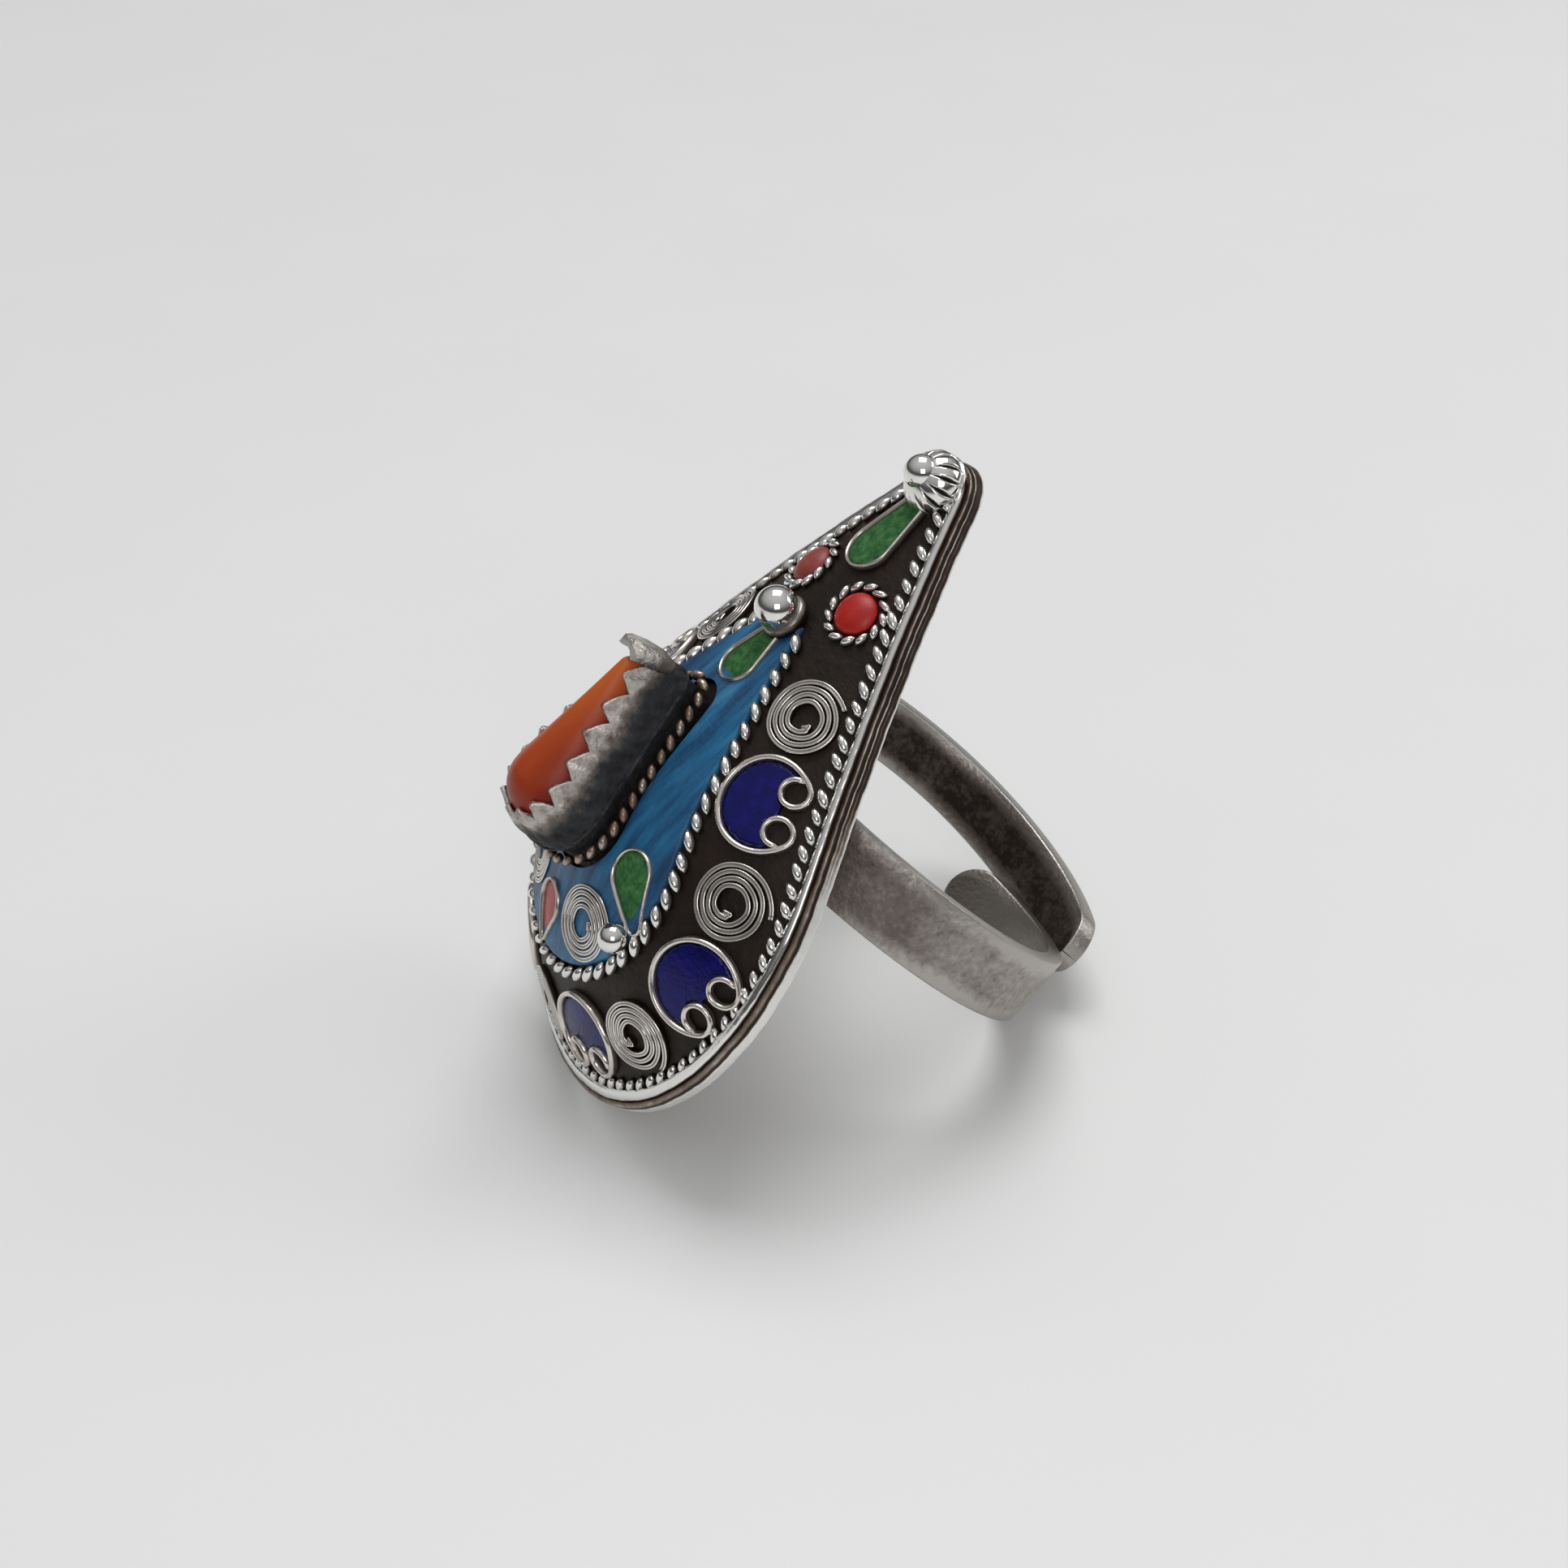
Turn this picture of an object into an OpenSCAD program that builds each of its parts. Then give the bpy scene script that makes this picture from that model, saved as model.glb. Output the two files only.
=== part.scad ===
// Silver shield ring with enamel cells and a coral cabochon.
// Millimetres. X runs across the shield, +Z is up, and the ring stands on z = 0.

/* [Shield] */
// Radius of the shield's round end
plate_r = 11.25; // [11.1:0.05:11.4]
// From the centre of the round end to the centre of the tip
plate_len = 18.7; // [18.5:0.1:18.9]
// Radius of the shield's tip
tip_r = 2.4; // [2.3:0.05:2.5]
// Thickness of the bright wire inside the edge
rim_wire = 0.56; // [0.5:0.02:0.6]

/* [Dome] */
// Radius of the round part of the dome
dome_r = 13.97; // [13.9:0.01:14]
// Depth of the dome's centre below the rim plane
dome_drop = 8.02; // [7.95:0.01:8.1]

/* [Beaded wire] */
// Radius of one grain of the beaded wire
grain_r = 0.37; // [0.34:0.01:0.38]
// Grains in the outer row
outer_grains = 104; // [100:1:108]
// Grains in the inner row
inner_grains = 60; // [56:1:62]
// Grains round the collar
collar_grains = 32; // [30:1:34]

/* [Collar] */
// Radius of the collar's round end
collar_r = 2.52; // [2.45:0.01:2.6]
// From the centre of the collar's round end to that of its point
collar_len = 6.27; // [6.2:0.01:6.35]
// Number of teeth on the collar
teeth = 17; // [15:1:19]

/* [Band] */
// Inner radius of the band
band_r = 9; // [8.9:0.05:9.1]
// Thickness of the band
band_t = 0.9; // [0.85:0.05:0.95]
// Width of the near arm
near_w = 3.45; // [3.3:0.05:3.6]
// Width of the far arm
far_w = 3.2; // [3.1:0.05:3.4]

/* [Rest] */
// How far the shield leans from upright, in degrees
lean = 33.5; // [33.4:0.1:33.6]

/* [Nodes] */
// Which node to build

/* [Hidden] */
$fn = 64;

// Dome: a sphere, and a cone tangent to it that falls toward the tip
dome_c = [0, 0.45, -dome_drop];
dome_pitch = 8.45;
dome_alpha = 27.73;
cone_len = 22.6;
dome_axis = [0, cos(dome_pitch), sin(dome_pitch)];
dome_apex = dome_c + dome_axis * dome_r / sin(dome_alpha);

// Edge of the shield, from the outline inward
side_lap = 0.01;
back_z = -0.9;
edge_z = 0.12;
edge_round = 0.16;
wire_in = 0.45;
wire_z = 1.0;
dome_in = 0.76;
rope_in = 1.2;
grain_lift = 0.12;

// Inner row of beaded wire
inner_y = 0.14;
inner_r = 6.11;
inner_len = 13.4;
inner_tip = 0.5;

// Collar, in a frame that tips toward the shield's tip
collar_y = 0.96;
collar_tip = 0.93;
collar_z = 6;
collar_tilt = -11;
collar_foot = 4.8;
collar_base = 7.5;
collar_step = 8.4;
collar_top = 9.15;
collar_t = 0.34;
collar_neck = 0.2;
collar_lean = 0.2;
tooth_r = 0.44;
tooth_t = 0.3;
tooth_in = 0.42;
tooth_tip = 16;
stone_z = 8.1;
stone_r = 2.1;
stone_tip = 0.8;
stone_len = 5.8;
rope_grow = 0.06;
rope_z = 6.55;

// Cell walls and enamel
wall_t = 0.24;
wall_h = 0.42;
wall_sink = 0.5;
gap = 0.1;
fill_t = 0.22;
field_t = 0.24;
field_in = 0.68;
field_tip = 0.1;

// Spirals: centre, outer radius and the turn of the tail
spiral_pitch = 0.28;
spiral_wire = 0.2;
spiral_mid = 0.45;
spiral_in = 0.05;
wire_h = 0.24;
pad_h = 0.04;
big_spiral = 1.7;
small_spiral = 1.5;
spirals = [[4.45, 9.7, 20], [7.95, 2.6, 0], [6.9, -5.0, -35]];
foot_spiral = [0, -8.5, -90];
inner_spiral = [3.3, -2.75, -40];

// Comma cells: centre and the direction of the rim, in degrees
comma_r = 1.97;
curl_r = 0.6;
curls = [[36, 1.08], [-48, 1.3]];
commas = [[6.1, 6.3, 28], [8.5, -1.1, -8], [4.0, -7.3, -61]];

// Teardrop cells: centre of the round end, turn, radius, length, point radius
tip_drop = [0, 16.4, 0, 0.95, 1.95, 0.32];
upper_drop = [0, 9.6, 0, 0.9, 1.6, 0.3];
side_drop = [4.15, 0.62, -137, 0.85, 2.0, 0.28];
low_drop = [0, -3.75, 180, 0.95, 1.6, 0.3];

// Round corals, balls and rosette
coral_at = [2.3, 14.0];
coral_r = 0.92;
coral_ring = 1.34;
coral_grain = 0.25;
ball_mid = [0, 12.55, 0.95];
ball_side = [5.1, -1.75, 0.62];
rosette_y = 20.0;
rosette_r = 1.3;
rosette_z = 0.75;
flutes = 14;

// Band: each arm lies in its own tipped plane
band_z = -7.93;
near_y = 5.32;
near_tip = -10.67;
near_turn = 2.18;
near_from = -62;
near_to = 112;
far_y = 6.09;
far_tip = -4.54;
far_turn = -7.8;
far_from = 60;
far_to = 240;
far_grow = 0.5;
far_out = 0.9;
far_dir = 80;
end_lap = 0.04;

// Place of the shield in the rest frame
lift = [0, -5.583, 9.3];
floor_size = 60;

// Teardrop outline
function slope(r1, d, r2) = asin((r1 - r2) / d);
function side_len(r1, d, r2) = sqrt(d * d - (r1 - r2) * (r1 - r2));
function arc_len(r, a) = r * a * PI / 180;
function loop_len(r1, d, r2) =
    arc_len(r1, 180 + 2 * slope(r1, d, r2)) + 2 * side_len(r1, d, r2)
    + arc_len(r2, 180 - 2 * slope(r1, d, r2));

// Point and outward direction at a distance t along the outline, from the left tangent point
function loop_at(r1, d, r2, t) =
    let (s = slope(r1, d, r2), side = side_len(r1, d, r2))
    let (a1 = arc_len(r1, 180 + 2 * s), a2 = arc_len(r2, 180 - 2 * s))
    t < a1 ? let (a = 180 - s + t / r1 * 180 / PI) [r1 * cos(a), r1 * sin(a), a]
    : t < a1 + side ? let (k = t - a1) [r1 * cos(s) - k * sin(s), r1 * sin(s) + k * cos(s), s]
    : t < a1 + side + a2
        ? let (a = s + (t - a1 - side) / r2 * 180 / PI) [r2 * cos(a), d + r2 * sin(a), a]
    : let (k = t - a1 - side - a2)
        [-r2 * cos(s) - k * sin(s), d + r2 * sin(s) - k * cos(s), 180 - s];

// Height and normal of the dome above a point of the rim plane
function ball_z(x, y) = dome_c[2] + sqrt(dome_r * dome_r - x * x - pow(y - dome_c[1], 2));
function cone_z(x, y) =
    let (c = pow(cos(dome_alpha), 2), u = y - dome_apex[1])
    let (qa = pow(dome_axis[2], 2) - c, qb = 2 * u * dome_axis[1] * dome_axis[2])
    let (qc = u * u * (pow(dome_axis[1], 2) - c) - c * x * x)
    dome_apex[2] + (-qb - sqrt(qb * qb - 4 * qa * qc)) / (2 * qa);
function on_ball(x, y) =
    let (n = ([x, y, ball_z(x, y)] - dome_c) / dome_r) n * dome_axis <= sin(dome_alpha);
function dome_z(x, y) = on_ball(x, y) ? ball_z(x, y) : cone_z(x, y);
function unit(v) = v / norm(v);
function dome_n(x, y) =
    on_ball(x, y) ? unit([x, y, ball_z(x, y)] - dome_c)
    : let (d = [x, y, cone_z(x, y)] - dome_apex)
      unit(pow(cos(dome_alpha), 2) * d - (d * dome_axis) * dome_axis);

// Puts its children in the rest frame, from the rim-plane frame
module on_ring() {
    translate(lift) rotate([90 - lean, 0, 0]) children();
}

// Puts its children on the dome, square to it
module seat(x, y, turn = 0) {
    n = dome_n(x, y);
    az = atan2(n[1], n[0]);
    translate([x, y, dome_z(x, y)]) rotate([0, acos(n[2]), az]) rotate([0, 0, turn - az]) children();
}

module both_sides() {
    children();
    mirror([1, 0, 0]) children();
}

// Ball at the origin with a cone tangent to it along +Z
module ball_cone(r, a, len) {
    sphere(r = r);
    translate([0, 0, r * sin(a)]) cylinder(r1 = r * cos(a), r2 = r * cos(a) - len * tan(a), h = len);
}

// Solid under the dome's surface, grown outward by off
module dome(off = 0) {
    translate(dome_c) rotate([dome_pitch - 90, 0, 0]) ball_cone(dome_r + off, dome_alpha, cone_len);
}

module drop2d(r1, d, r2, grow = 0) {
    s = slope(r1, d, r2);
    q1 = r1 + grow;
    q2 = r2 + grow;
    p1 = (q1 + side_lap) * [cos(s), sin(s)];
    p2 = (q2 + side_lap) * [cos(s), sin(s)] + [0, d];
    circle(r = q1);
    translate([0, d]) circle(r = q2);
    polygon([[-p1[0], p1[1]], p1, p2, [-p2[0], p2[1]]]);
}

module outline(inset, low, high) {
    translate([0, 0, low]) linear_extrude(height = high - low) drop2d(plate_r, plate_len, tip_r, -inset);
}

// Row of grains along a teardrop outline, on the dome
module rope(y0, r1, d, r2, count) {
    step = loop_len(r1, d, r2) / count;
    for (i = [0 : count - 1]) {
        p = loop_at(r1, d, r2, (i + 0.5) * step);
        seat(p[0], y0 + p[1]) translate([0, 0, grain_lift]) sphere(r = grain_r);
    }
}

module half_ring(r, w, up) {
    intersection() {
        difference() {
            circle(r = r + w / 2);
            circle(r = r - w / 2);
        }
        translate([-2 * r, up ? 0 : -2 * r]) square([4 * r, 2 * r]);
    }
}

// Flat coil of wire made of half rings, on a round pad that levels the dome under it
module spiral(at, r_out) {
    halves = floor(2 * (r_out - spiral_mid) / spiral_pitch);
    seat(at[0], at[1], at[2]) {
        translate([0, 0, -wall_sink]) cylinder(r = r_out, h = wall_sink + pad_h);
        linear_extrude(height = pad_h + wire_h)
            for (k = [0 : halves - 1])
                translate([k % 2 == 0 ? 0 : -spiral_pitch / 2, 0])
                    half_ring(r_out - spiral_in - (spiral_wire + k * spiral_pitch) / 2, spiral_wire, k % 2 == 0);
    }
}

module ring2d(r, w) {
    difference() {
        circle(r = r);
        circle(r = r - w);
    }
}

function curl_at(c, k) = [curls[k][1] * cos(c[2] + curls[k][0]), curls[k][1] * sin(c[2] + curls[k][0])];

// Wires of a comma cell: a round wall and two curls at the rim side
module comma_wires(c) {
    seat(c[0], c[1]) translate([0, 0, -wall_sink]) linear_extrude(height = wall_sink + wall_h) {
        ring2d(comma_r, wall_t);
        for (k = [0, 1]) translate(curl_at(c, k)) ring2d(curl_r, wall_t * 0.8);
    }
}

module comma_enamel(c) {
    seat(c[0], c[1]) translate([0, 0, gap]) linear_extrude(height = fill_t) difference() {
        circle(r = comma_r - wall_t - gap);
        for (k = [0, 1]) translate(curl_at(c, k)) circle(r = curl_r + gap);
        rotate(c[2]) translate([curls[0][1] - 0.35, -comma_r]) square([comma_r, 2 * comma_r]);
    }
}

module drop_wires(c) {
    seat(c[0], c[1], c[2]) translate([0, 0, -wall_sink]) linear_extrude(height = wall_sink + wall_h)
        difference() {
            drop2d(c[3], c[4], c[5], wall_t / 2);
            drop2d(c[3], c[4], c[5], -wall_t / 2);
        }
}

module drop_cell(c, grow, high = 2) {
    seat(c[0], c[1], c[2]) translate([0, 0, -1]) linear_extrude(height = 1 + high)
        drop2d(c[3], c[4], c[5], grow);
}

module drop_enamel(c) {
    seat(c[0], c[1], c[2]) translate([0, 0, gap]) linear_extrude(height = fill_t)
        drop2d(c[3], c[4], c[5], -wall_t / 2 - gap);
}

module on_collar() {
    translate([0, 0, collar_z]) rotate([collar_tilt, 0, 0]) translate([0, collar_y, -collar_z]) children();
}

module collar_block(grow, low, high) {
    on_collar() translate([0, 0, low]) linear_extrude(height = high - low)
        drop2d(collar_r, collar_len, collar_tip, grow);
}

module collar() {
    collar_block(-collar_neck, collar_foot, collar_base + 0.1);
    difference() {
        union() {
            collar_block(0, collar_base, collar_step);
            collar_block(-collar_lean, collar_step - 0.1, collar_top);
        }
        collar_block(-collar_lean - collar_t, collar_base + 0.1, collar_top + 1);
    }
    on_collar() {
        step = loop_len(collar_r, collar_len, collar_tip) / teeth;
        for (i = [0 : teeth - 1]) {
            p = loop_at(collar_r, collar_len, collar_tip, i * step + collar_r);
            translate([p[0], p[1], collar_top]) rotate([0, 0, p[2]]) translate([-tooth_in, 0, 0])
                rotate([0, -tooth_tip, 0]) rotate([0, 90, 0])
                    cylinder(r = tooth_r, h = tooth_t, center = true);
        }
        ring = loop_len(collar_r + rope_grow, collar_len, collar_tip + rope_grow) / collar_grains;
        for (i = [0 : collar_grains - 1]) {
            p = loop_at(collar_r + rope_grow, collar_len, collar_tip + rope_grow, i * ring);
            translate([p[0], p[1], rope_z]) sphere(r = grain_r);
        }
    }
}

// Grains round a small coral, on a round pad
module bead_ring(at, r, count, bead) {
    seat(at[0], at[1]) {
        translate([0, 0, -wall_sink]) cylinder(r = r, h = wall_sink);
        for (i = [0 : count - 1])
            rotate([0, 0, i * 360 / count]) translate([r, 0, bead / 2]) sphere(r = bead);
    }
}

module rosette() {
    translate([0, rosette_y, 0]) {
        translate([0, 0, -0.3]) cylinder(r = rosette_r * 0.85, h = rosette_z + 0.3);
        for (i = [0 : flutes - 1])
            rotate([0, 0, i * 360 / flutes]) translate([rosette_r * 0.82, 0, rosette_z * 0.7])
                sphere(r = 0.23);
        translate([0, 0, rosette_z + 0.45]) sphere(r = 0.8);
    }
}

module shield() {
    outline(edge_round, back_z, edge_z);
    outline(0, back_z + edge_round, edge_z - edge_round);
    difference() {
        outline(wire_in, 0, wire_z);
        outline(wire_in + rim_wire, -1, wire_z + 1);
    }
    intersection() {
        dome();
        outline(dome_in, 0, dome_r);
    }
}

// Curved strip of the band, with a rounded free end at the angle named by tip
module arm(r, w, from, to, tip) {
    sweep = w / 2 / r * 180 / PI;
    centre = tip == to ? to - sweep : from + sweep;
    difference() {
        rotate([0, 0, from]) rotate_extrude(angle = to - from)
            translate([r, -w / 2]) square([band_t, w]);
        rotate([0, 0, centre]) difference() {
            translate([0, tip == to ? 0 : -2 * w, -w]) cube([2 * r, 2 * w, 2 * w]);
            rotate([0, 90, 0]) cylinder(r = w / 2 + end_lap, h = 3 * r);
        }
    }
}

module band() {
    translate([0, near_y + band_z * tan(-near_tip), band_z])
        rotate([near_tip, 0, near_turn]) rotate([-90, 0, 0])
            arm(band_r, near_w, near_from, near_to, near_to);
    translate([0, far_y + band_z * tan(-far_tip), band_z])
        rotate([far_tip, 0, far_turn]) rotate([-90, 0, 0])
            translate([far_out * cos(far_dir), far_out * sin(far_dir), 0])
                arm(band_r + far_grow, far_w, far_from, far_to, far_from);
}

module silver_body() {
    color([0.72, 0.71, 0.69]) difference() {
        on_ring() {
            shield();
            band();
            rope(0, plate_r - rope_in, plate_len, tip_r - rope_in, outer_grains);
            rope(inner_y, inner_r, inner_len, inner_tip, inner_grains);
            collar();
            both_sides() {
                for (c = spirals) spiral(c, big_spiral);
                spiral(inner_spiral, small_spiral);
                for (c = commas) comma_wires(c);
                drop_wires(side_drop);
                bead_ring(coral_at, coral_ring, 12, coral_grain);
                seat(ball_side[0], ball_side[1]) translate([0, 0, 0.5]) sphere(r = ball_side[2]);
            }
            spiral(foot_spiral, big_spiral);
            drop_wires(tip_drop);
            drop_wires(upper_drop);
            drop_wires(low_drop);
            seat(ball_mid[0], ball_mid[1]) translate([0, 0, 0.7]) sphere(r = ball_mid[2]);
            rosette();
        }
        translate([-floor_size / 2, -floor_size / 2, -floor_size]) cube(floor_size);
    }
}

module coral_cabochon() {
    color([0.78, 0.34, 0.17]) on_ring() intersection() {
        collar_block(-collar_lean - collar_t - gap, collar_base + 0.1 + gap, collar_top + 4);
        on_collar() translate([0, 0, stone_z]) rotate([-90, 0, 0]) {
            ball_cone(stone_r, slope(stone_r, collar_len, stone_tip), stone_len);
            translate([0, 0, collar_len]) sphere(r = stone_tip);
        }
    }
}

module red_coral() {
    color([0.74, 0.13, 0.09]) seat(coral_at[0], coral_at[1]) intersection() {
        translate([0, 0, gap]) cylinder(r = coral_r, h = 2);
        translate([0, 0, -0.6]) sphere(r = 1.45);
    }
}

module red_coral_right() {
    on_ring() red_coral();
}

module red_coral_left() {
    on_ring() mirror([1, 0, 0]) red_coral();
}

module green_drop_tip() {
    color([0.2, 0.47, 0.21]) on_ring() drop_enamel(tip_drop);
}

module green_drop_upper() {
    color([0.2, 0.47, 0.21]) on_ring() drop_enamel(upper_drop);
}

module green_drop_right() {
    color([0.2, 0.47, 0.21]) on_ring() drop_enamel(side_drop);
}

module green_drop_left() {
    color([0.2, 0.47, 0.21]) on_ring() mirror([1, 0, 0]) drop_enamel(side_drop);
}

module red_drop() {
    color([0.72, 0.3, 0.28]) on_ring() drop_enamel(low_drop);
}

module turquoise_field() {
    color([0.1, 0.42, 0.66]) on_ring() difference() {
        intersection() {
            dome(gap + field_t);
            translate([0, inner_y, 0]) linear_extrude(height = dome_r)
                drop2d(inner_r - field_in, inner_len, field_tip);
        }
        dome(gap);
        collar_block(rope_grow + grain_r + gap, 0, dome_r);
        drop_cell(upper_drop, wall_t / 2 + gap);
        drop_cell(low_drop, wall_t / 2 + gap);
        both_sides() {
            drop_cell(side_drop, wall_t / 2 + gap);
            seat(inner_spiral[0], inner_spiral[1], inner_spiral[2]) translate([0, 0, -1])
                cylinder(r = small_spiral + gap, h = 3);
            seat(ball_side[0], ball_side[1]) translate([0, 0, -1]) cylinder(r = ball_side[2] + gap, h = 3);
        }
        seat(ball_mid[0], ball_mid[1]) translate([0, 0, -1]) cylinder(r = ball_mid[2] + gap, h = 3);
        translate([-inner_r, ball_mid[1], 0]) cube([2 * inner_r, inner_r, dome_r]);
    }
}

module lapis_comma(k) {
    color([0.08, 0.06, 0.47]) on_ring() mirror([k > 3 ? 1 : 0, 0, 0]) comma_enamel(commas[(k - 1) % 3]);
}

silver_body();
coral_cabochon();
red_coral_right();
red_coral_left();
green_drop_tip();
green_drop_upper();
green_drop_right();
green_drop_left();
red_drop();
turquoise_field();
lapis_comma(1);  // lapis_comma_1
lapis_comma(2);  // lapis_comma_2
lapis_comma(3);  // lapis_comma_3
lapis_comma(4);  // lapis_comma_4
lapis_comma(5);  // lapis_comma_5
lapis_comma(6);  // lapis_comma_6
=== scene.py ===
import math

import bpy
import numpy as np
from mathutils import Matrix, Vector


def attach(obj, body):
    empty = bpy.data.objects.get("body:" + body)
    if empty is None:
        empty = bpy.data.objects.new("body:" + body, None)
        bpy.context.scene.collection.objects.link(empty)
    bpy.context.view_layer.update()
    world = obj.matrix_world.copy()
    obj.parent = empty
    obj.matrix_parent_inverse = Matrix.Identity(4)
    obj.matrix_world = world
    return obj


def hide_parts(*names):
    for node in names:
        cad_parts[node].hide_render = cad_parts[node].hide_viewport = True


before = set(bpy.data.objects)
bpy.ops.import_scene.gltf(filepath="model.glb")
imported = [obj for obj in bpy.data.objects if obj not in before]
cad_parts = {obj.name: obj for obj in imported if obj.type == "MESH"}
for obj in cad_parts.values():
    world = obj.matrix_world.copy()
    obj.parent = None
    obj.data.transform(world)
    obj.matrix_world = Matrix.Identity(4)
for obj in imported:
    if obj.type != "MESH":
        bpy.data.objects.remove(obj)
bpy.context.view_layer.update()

# Shapes are drawn in mm in the rim-plane frame: x across the shield, y toward its tip, z out of its face
MM = 0.001

# Pose of the rim-plane frame in the rest frame
LEAN = math.radians(33.5)
LIFT = np.array([0.0, -5.583, 9.3])
TURN = np.array([[1, 0, 0],
                 [0, math.sin(LEAN), -math.cos(LEAN)],
                 [0, math.cos(LEAN), math.sin(LEAN)]])
# Lowest y and z of any piece in the rest frame, in metres: just inside the solids' box, and the floor
BOX_LOW = (-0.013935, 0.0)

# A teardrop is the radius of its round end, the distance between its two centres, and the radius of its tip
PLATE = (11.118, 18.9, 2.27)
COLLAR = (2.52, 6.27, 0.93)
INNER_ROPE = (6.11, 13.4, 0.5)

# Back of the shield: an arc along y, and its highest point
BEND_R = 105.0
BEND_Y = 1.0
BEND_Z = 0.85

# Dome: a ball that runs on into a cone toward the tip
DOME_R = 13.97
DOME_C = np.array([0.0, 0.45, -8.02])
CONE_PITCH = math.radians(8.45)
CONE_HALF = math.radians(27.73)
CONE_AXIS = np.array([0.0, math.cos(CONE_PITCH), math.sin(CONE_PITCH)])
CONE_TIP = DOME_C + CONE_AXIS * DOME_R / math.sin(CONE_HALF)

# Silver, linear colours: rubbed, half rubbed, and two tones of oxide
SILVER_HIGH = (0.86, 0.85, 0.83)
SILVER_MID = (0.36, 0.335, 0.31)
OXIDE_WARM = (0.055, 0.030, 0.018)
OXIDE = (0.010, 0.0072, 0.0055)


# Frames, directions and curves
def to_rest(p):
    """Points of the rim-plane frame, in mm, to the rest frame, in metres."""
    return (np.asarray(p, float) @ TURN.T + LIFT) * MM


def unit(v):
    v = np.asarray(v, float)
    return v / np.maximum(np.linalg.norm(v, axis=-1, keepdims=True), 1e-12)


def polar(r, a):
    """Point of a circle of radius r, at a radians."""
    return r * np.array([math.cos(a), math.sin(a)])


def circle(count):
    """Angles evenly spaced round a circle."""
    return np.linspace(0, 2 * np.pi, count, endpoint=False)


def ease(v, start, span, power=1.0):
    """0 up to start, 1 from start + span on, and a curve of this power between."""
    return np.clip((v - start) / span, 0, 1)**power


# Dome
def dome(x, y):
    """Height of the dome above a point of the rim plane, and its outward normal."""
    x, y = np.broadcast_arrays(np.asarray(x, float), np.asarray(y, float))
    ball_z = DOME_C[2] + np.sqrt(np.maximum(DOME_R**2 - x**2 - (y - DOME_C[1])**2, 0.01))
    ball_n = (np.stack([x, y, ball_z], -1) - DOME_C) / DOME_R
    c = math.cos(CONE_HALF)**2
    u = y - CONE_TIP[1]
    qa = CONE_AXIS[2]**2 - c
    qb = 2 * u * CONE_AXIS[1] * CONE_AXIS[2]
    qc = u * u * (CONE_AXIS[1]**2 - c) - c * x * x
    cone_z = CONE_TIP[2] + (-qb - np.sqrt(np.maximum(qb * qb - 4 * qa * qc, 0))) / (2 * qa)
    d = np.stack([x, y, cone_z], -1) - CONE_TIP
    cone_n = unit(c * d - (d @ CONE_AXIS)[..., None] * CONE_AXIS)
    on_ball = ball_n @ CONE_AXIS <= math.sin(CONE_HALF)
    return np.where(on_ball, ball_z, cone_z), np.where(on_ball[..., None], ball_n, cone_n)


def on_dome(xy, lift=0.0):
    """Points of the dome above xy, moved out along its normals, and the normals."""
    xy = np.asarray(xy, float)
    z, n = dome(xy[..., 0], xy[..., 1])
    return np.concatenate([xy, z[..., None]], -1) + n * lift, n


def turn_z(a):
    return np.array([[math.cos(a), -math.sin(a), 0], [math.sin(a), math.cos(a), 0], [0, 0, 1]])


def turn_y(a):
    return np.array([[math.cos(a), 0, math.sin(a)], [0, 1, 0], [-math.sin(a), 0, math.cos(a)]])


def seat(x, y, turn=0.0):
    """Point of the dome, and the matrix of its two tangents and normal, as seat() in the part's source."""
    z, n = dome(x, y)
    az = math.atan2(n[1], n[0])
    tilt = math.acos(n[2])
    return np.array([x, y, float(z)]), turn_z(az) @ turn_y(tilt) @ turn_z(math.radians(turn) - az)


def seated(x, y, turn, uv):
    """Points of a flat figure uv laid on the dome about (x, y), and their normals."""
    p, m = seat(x, y, turn)
    flat = p + np.asarray(uv, float) @ m[:, :2].T
    return on_dome(flat[:, :2])


# Teardrop outline
def drop_loop(r1, d, r2, count):
    """Points and outward normals round a teardrop, evenly spaced from the left tangent point, and its length."""
    s = math.asin((r1 - r2) / d)
    side = math.sqrt(d * d - (r1 - r2)**2)
    a1 = r1 * (math.pi + 2 * s)
    a2 = r2 * (math.pi - 2 * s)
    total = a1 + a2 + 2 * side
    out = np.zeros((count, 4))
    for i in range(count):
        t = total * i / count
        if t < a1:
            a = math.pi - s + t / r1
            out[i] = r1 * math.cos(a), r1 * math.sin(a), math.cos(a), math.sin(a)
        elif t < a1 + side:
            k = t - a1
            out[i] = (r1 * math.cos(s) - k * math.sin(s), r1 * math.sin(s) + k * math.cos(s),
                      math.cos(s), math.sin(s))
        elif t < a1 + side + a2:
            a = s + (t - a1 - side) / r2
            out[i] = r2 * math.cos(a), d + r2 * math.sin(a), math.cos(a), math.sin(a)
        else:
            k = t - a1 - side - a2
            out[i] = (-r2 * math.cos(s) - k * math.sin(s), d + r2 * math.sin(s) - k * math.cos(s),
                      -math.cos(s), math.sin(s))
    return out[:, :2], out[:, 2:], total


def grown(drop, by):
    """The same teardrop with its edge moved out."""
    return drop[0] + by, drop[1], drop[2] + by


# Meshes
PIECES = []


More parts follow.
